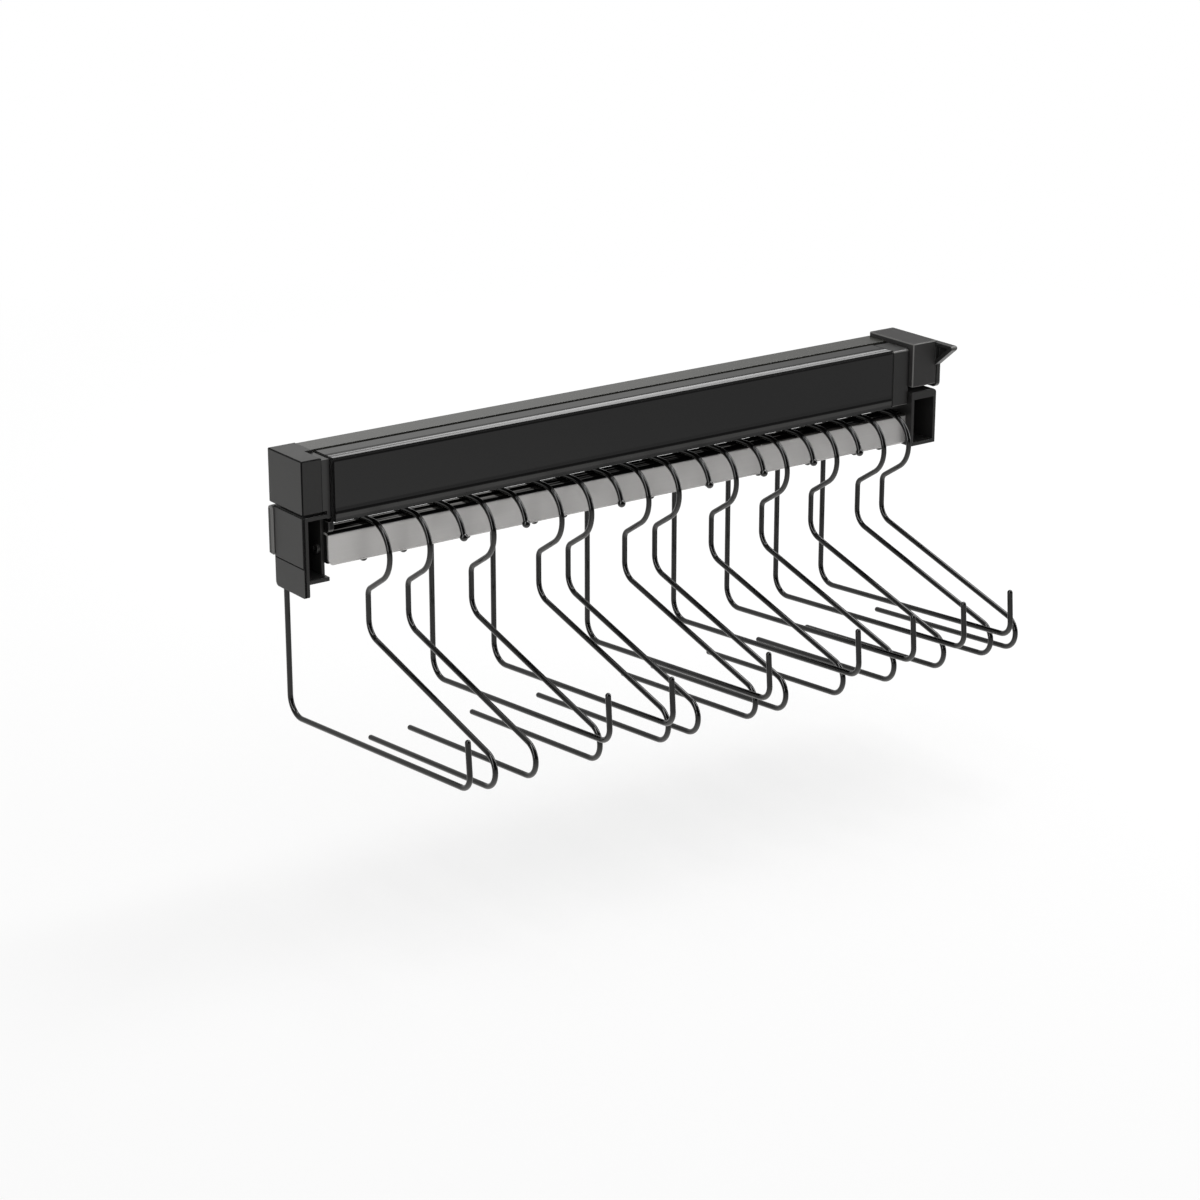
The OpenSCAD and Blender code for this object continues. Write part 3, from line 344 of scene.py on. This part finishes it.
def bar_metal(name):
    """Satin front and back. The top and bottom, which the hooks rub smooth, are nearly mirrors, and the top's
    colour is a painted reflection.
    """
    mat, tree, shader = new_material(name)
    drawn = noise(tree, coordinates(tree, (5.0, 700.0, 700.0)), detail=4.0, rough=0.65)
    cloud = noise(tree, coordinates(tree, (7.0, 30.0, 30.0)))
    height = normal_parts(tree)["Z"]
    level = rising(tree, computed(tree, "ABSOLUTE", height), 0.25, 0.8)
    upward = rising(tree, height, 0.3, 0.55)
    # painted reflection: along the top the metal comes and goes in long pale streaks, and is painted black
    # between them
    streak = noise(tree, coordinates(tree, (4.0, 330.0, 1.0)), detail=1.5)
    shine = rising(tree, streak, 0.54, 0.66)
    face = mixed(tree, drawn, (0.56, 0.55, 0.54), (0.61, 0.6, 0.59))
    top_reflection_paint = mixed(tree, shine, (0.004, 0.004, 0.004), (0.1, 0.093, 0.086))
    metal = mixed(tree, upward, ranged(tree, level, 0.55, 1.0, 0.0, 1.0), shine, "FLOAT")
    rough = mixed(tree, level, ranged(tree, cloud, 0.38, 0.44), 0.09, "FLOAT")
    feed(tree, shader, {"Base Color": mixed(tree, upward, face, top_reflection_paint), "Metallic": metal,
                        "Roughness": rough, "Specular IOR Level": 0.0})
    finish_normal(tree, shader, drawn, 0.00002, 0.08, None)
    return mat


def clouded(name, scale, dark, pale, rough, bump=None, detail=2.0, noise_rough=0.5, **others):
    """One material for small pieces: patches of two colours, and a bump of given depth, strength and edge."""
    mat, tree, shader = new_material(name)
    cloud = noise(tree, coordinates(tree), scale, detail, noise_rough)
    feed(tree, shader, {"Base Color": mixed(tree, cloud, dark, pale),
                        "Roughness": ranged(tree, cloud, *rough)})
    feed(tree, shader, {key.replace("_", " "): value for key, value in others.items()})
    if bump:
        finish_normal(tree, shader, cloud, *bump)
    return mat


def blackened_steel(name):
    return clouded(name, 420.0, (0.05, 0.05, 0.05), (0.11, 0.108, 0.105), (0.34, 0.5), (0.00004, 0.2, 0.0003),
                   detail=3.0, noise_rough=0.6, Metallic=0.85)


# Some pieces have their own finish, under the name of their node; the rest have their material slot's

MATERIALS = {
    "black_anodised": profile_black("black_anodised_aluminium"),
    "neck_plug": neck_plastic("neck_plastic_and_seam_shade"),
    "fixed_rail": anodised("black_anodised_rail", (0.025, 0.025, 0.022), (0.04, 0.04, 0.035), (0.2, 0.27),
                           lines=(2.0, 1100.0, 1100.0), strength=0.5, level=0.56, edge=0.0003),
    "black_moulding": moulded("black_moulded_plastic"),
    "near_cap": dark_edged("cap_plastic"),
    "bracket_cover": dark_edged("cover_plastic"),
    "near_bracket": bracket_plastic("bracket_plastic"),
    "rail_end_block": moulded("end_block_plastic", (0.038, 0.037, 0.0365), (0.046, 0.045, 0.0445),
                              (0.4, 0.46), level=0.1),
    "dark_plug": moulded("dark_plug_plastic", (0.003, 0.003, 0.003), (0.006, 0.006, 0.006),
                         (0.4, 0.5), level=0.25),
    "slide_steel": blackened_steel("blackened_slide_steel"),
    "cage_nylon": clouded("ball_cage_nylon", 300.0, (0.55, 0.5, 0.37), (0.66, 0.6, 0.46), (0.35, 0.5),
                          (0.00005, 0.1, 0.0002), Subsurface_Weight=0.08),
    "ball_steel": clouded("ball_steel", 700.0, (0.66, 0.66, 0.66), (0.72, 0.72, 0.71), (0.08, 0.14),
                          Metallic=1.0),
    "rivet_steel": brushed("rivet_steel", (0.42, 0.42, 0.41), (0.5, 0.5, 0.49), (0.3, 0.4),
                           lines=(300.0, 300.0, 300.0)),
    "dark_screw": blackened_steel("blackened_screws"),
    "buffer_rubber": clouded("buffer_rubber", 1500.0, (0.018, 0.018, 0.018), (0.03, 0.03, 0.029), (0.62, 0.8),
                             (0.00005, 0.3, 0.0004)),
    "arm_steel": brushed("rolled_steel_arm", (0.2, 0.2, 0.195), (0.28, 0.28, 0.27), (0.36, 0.46)),
    "satin_bar": bar_metal("satin_steel_bar"),
    "black_wire": wire_paint("gloss_black_wire"),
}

slot_of = {s["node"]: s["material_slot"] for s in frame["record"]["subparts"]}
for name, obj in nodes.items():
    material = MATERIALS.get(name) or MATERIALS[slot_of[name]]
    if not obj.material_slots:
        obj.data.materials.append(material)
    for holder in obj.material_slots:
        holder.material = material


# A black foot under the neck plug, which closes the gap over the bar's near end: a piece of painted shade, dark
# where the floor would show through

FOOT_FRONT, FOOT_BACK = -0.0408, -0.0235
FOOT_CLEAR = 0.0004                             # gap between the foot and the bar's top
FOOT_EDGE = 0.0003


def neck_foot():
    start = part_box("hanger_bar")[0][0] + 0.0003
    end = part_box("front_profile")[0][0] - 0.0001
    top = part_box("neck_plug")[0][2]
    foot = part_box("hanger_bar")[1][2] + FOOT_CLEAR
    # its outline across the bar, front first, with a rounded front corner and a slanted back one
    outline = [(FOOT_FRONT, top), (FOOT_FRONT, foot + 0.0022), (FOOT_FRONT + 0.0008, foot + 0.0007),
               (FOOT_FRONT + 0.0024, foot), (FOOT_BACK - 0.003, foot), (FOOT_BACK, foot + 0.002),
               (FOOT_BACK, top)]
    shape = bmesh.new()
    near, far = [[shape.verts.new((x, y, z)) for y, z in outline] for x in (start, end)]
    shape.faces.new(near)
    shape.faces.new(far[::-1])
    for i in range(len(outline)):
        j = (i + 1) % len(outline)
        shape.faces.new((near[i], far[i], far[j], near[j]))
    bmesh.ops.recalc_face_normals(shape, faces=shape.faces)
    bmesh.ops.bevel(shape, geom=shape.edges[:], offset=FOOT_EDGE, segments=2, affect="EDGES", profile=0.5)
    mesh = bpy.data.meshes.new("neck_foot")
    shape.to_mesh(mesh)
    shape.free()
    piece = bpy.data.objects.new("neck_foot", mesh)
    mesh.materials.append(MATERIALS["dark_plug"])
    scene.collection.objects.link(piece)
    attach(piece, "carriage")


neck_foot()


# Floor, world and light

FLOOR_Z = -0.245
FLOOR_REACH = 9.0
SHADOW_KEPT = (0.46, 0.46, 0.46)                # how much of the shadow stays on the white floor
FLOOR_LIFT = 0.56                               # what brings the rest of it back to white
FLOOR_FADE = (0.7, 1.5)                         # distances over which the floor turns into plain white
MIRROR_NEAR, MIRROR_BEYOND = (0.95, 0.945, 0.935), (0.6, 0.6, 0.6)
MIRROR_FADE = (-0.05, 0.65)                     # along the rack

LAMP_STRENGTH = 0.72
CAMERA_SIDE = (-0.589, -0.808, 0.0)             # from the rack towards the camera
RIGHTWARD = (0.808, -0.589, 0.0)                # to the right, as the camera sees it
ROOM_TOP = (0.55, 0.85)                         # how high the dark room reaches
ROOM_LIMIT = (-0.1, 0.35)                       # how far round it reaches
ROOM = (0.1, 0.1, 0.1)
SWEEP_LEFT, SWEEP_MIDDLE, SWEEP_RIGHT = (0.86, 0.86, 0.85), (0.63, 0.63, 0.62), (0.32, 0.32, 0.32)
TO_MIDDLE, TO_RIGHT = (-0.14, 0.0), (0.02, 0.11)
SOFT_BOX = 2.2
SOFT_BOX_AXIS = Vector((0.56, 0.08, 0.82)).normalized()
SOFT_BOX_LIMIT = (0.8, 0.98)
SOFT_BOX_FADE = (0.56, 0.63)                    # it is weaker beyond this, over the rack's far end
SOFT_BOX_COLOUR = (1.0, 0.99, 0.975)
STRIP = 9.0
STRIP_AXES = ((-0.93, -0.37, 0.0), (0.96, -0.28, 0.0))
STRIP_WIDTH = (0.1, 0.14)


def emission(tree, inputs):
    return add(tree, "ShaderNodeEmission", {"Strength": 1.0, **inputs}).outputs[0]


def make_floor():
    """A pale floor, which looks white wherever it is seen directly and keeps part of the rack's shadow."""
    mesh = bpy.data.meshes.new("floor")
    corners = [(-FLOOR_REACH, -FLOOR_REACH, 0), (FLOOR_REACH, -FLOOR_REACH, 0),
               (FLOOR_REACH, FLOOR_REACH, 0), (-FLOOR_REACH, FLOOR_REACH, 0)]
    mesh.from_pydata(corners, [], [(0, 1, 2, 3)])
    floor = bpy.data.objects.new("floor", mesh)
    floor.location = (0, 0, FLOOR_Z)
    scene.collection.objects.link(floor)
    mat, tree, shader = new_material("pale_floor")
    mottle = noise(tree, coordinates(tree), 30.0, detail=3.0)
    feed(tree, shader, {"Base Color": mixed(tree, mottle, (0.84, 0.84, 0.84), (0.86, 0.86, 0.86)),
                        "Roughness": 0.9, "Specular IOR Level": 0.0})
    # what is seen directly: the same floor, lifted to white, with part of the shadow left on it
    matt = add(tree, "ShaderNodeBsdfDiffuse", {"Color": SHADOW_KEPT}).outputs[0]
    lifted = add_shader(tree, matt, emission(tree, {"Color": WHITE, "Strength": FLOOR_LIFT}))
    length = add(tree, "ShaderNodeVectorMath", {0: coordinates(tree)}, operation="LENGTH").outputs["Value"]
    seen = mix_shader(tree, rising(tree, length, *FLOOR_FADE), lifted, emission(tree, {"Color": WHITE}))
    # what is mirrored: white near the rack, greyer beyond its far end
    beyond = rising(tree, place_parts(tree)["X"], *MIRROR_FADE)
    mirrored = emission(tree, {"Color": mixed(tree, beyond, MIRROR_NEAR, MIRROR_BEYOND)})
    seen = mix_shader(tree, any_ray(tree, "Is Glossy Ray"), seen, mirrored)
    direct = any_ray(tree, "Is Camera Ray", "Is Glossy Ray", "Is Transmission Ray")
    feed(tree, tree.nodes["Material Output"], {"Surface": mix_shader(tree, direct, shader.outputs[0], seen)})
    mesh.materials.append(mat)


def background(tree, inputs):
    return add(tree, "ShaderNodeBackground", {"Strength": 1.0, **inputs}).outputs[0]


def mirrored_room(tree):
    """What reflections show: a pale sweep, darker to the right, a dark room on the camera's side, and lamps."""
    direction = add(tree, "ShaderNodeTexCoord").outputs["Generated"]
    heading = parts(tree, direction)
    near_side = rising(tree, along(tree, direction, CAMERA_SIDE), *ROOM_LIMIT)
    below_top = falling(tree, heading["Z"], *ROOM_TOP)
    room = computed(tree, "MULTIPLY", near_side, below_top)
    across = along(tree, direction, RIGHTWARD)
    sweep = mixed(tree, rising(tree, across, *TO_MIDDLE), SWEEP_LEFT, SWEEP_MIDDLE)
    sweep = mixed(tree, rising(tree, across, *TO_RIGHT), sweep, SWEEP_RIGHT)
    mirror = background(tree, {"Color": mixed(tree, room, sweep, ROOM)})
    # a soft box above the far end
    box = ranged(tree, along(tree, direction, SOFT_BOX_AXIS), 0.0, SOFT_BOX, *SOFT_BOX_LIMIT)
    faded = computed(tree, "MULTIPLY", box, ranged(tree, heading["X"], 1.0, 0.1, *SOFT_BOX_FADE))
    mirror = add_shader(tree, mirror, background(tree, {"Color": SOFT_BOX_COLOUR, "Strength": faded}))
    # two upright strips, left and right, which draw the crisp lines on the wires
    for axis in STRIP_AXES:
        aside = computed(tree, "ABSOLUTE", along(tree, direction, (axis[1], -axis[0], 0.0)))
        this_side = rising(tree, along(tree, direction, axis), 0.3, 0.4)
        strip = computed(tree, "MULTIPLY", ranged(tree, aside, STRIP, 0.0, *STRIP_WIDTH), this_side)
        mirror = add_shader(tree, mirror, background(tree, {"Color": WHITE, "Strength": strip}))
    return mirror


def make_world():
    """White to look at; as a light, plain; in reflections, a studio."""
    world = bpy.data.worlds.new("studio")
    scene.world = world
    world.use_nodes = True
    tree = world.node_tree
    tree.nodes.clear()
    lamp = background(tree, {"Color": WHITE, "Strength": LAMP_STRENGTH})
    reflected = any_ray(tree, "Is Glossy Ray", "Is Transmission Ray")
    unseen = mix_shader(tree, reflected, lamp, mirrored_room(tree))
    surface = mix_shader(tree, any_ray(tree, "Is Camera Ray"), unseen, background(tree, {"Color": WHITE}))
    add(tree, "ShaderNodeOutputWorld", {"Surface": surface})


def area_light(name, place, aim, size, power):
    data = bpy.data.lights.new(name, "AREA")
    data.shape = "RECTANGLE"
    data.size, data.size_y = size
    data.energy = power
    lamp = bpy.data.objects.new(name, data)
    lamp.location = place
    lamp.rotation_euler = (Vector(aim) - Vector(place)).to_track_quat("-Z", "Y").to_euler()
    scene.collection.objects.link(lamp)


make_floor()
make_world()
area_light("key_from_above", place=(1.15, 0.4, 1.5), aim=(0.0, -0.08, 0.0), size=(0.9, 0.75), power=15.0)


scene.view_settings.view_transform = "Standard"
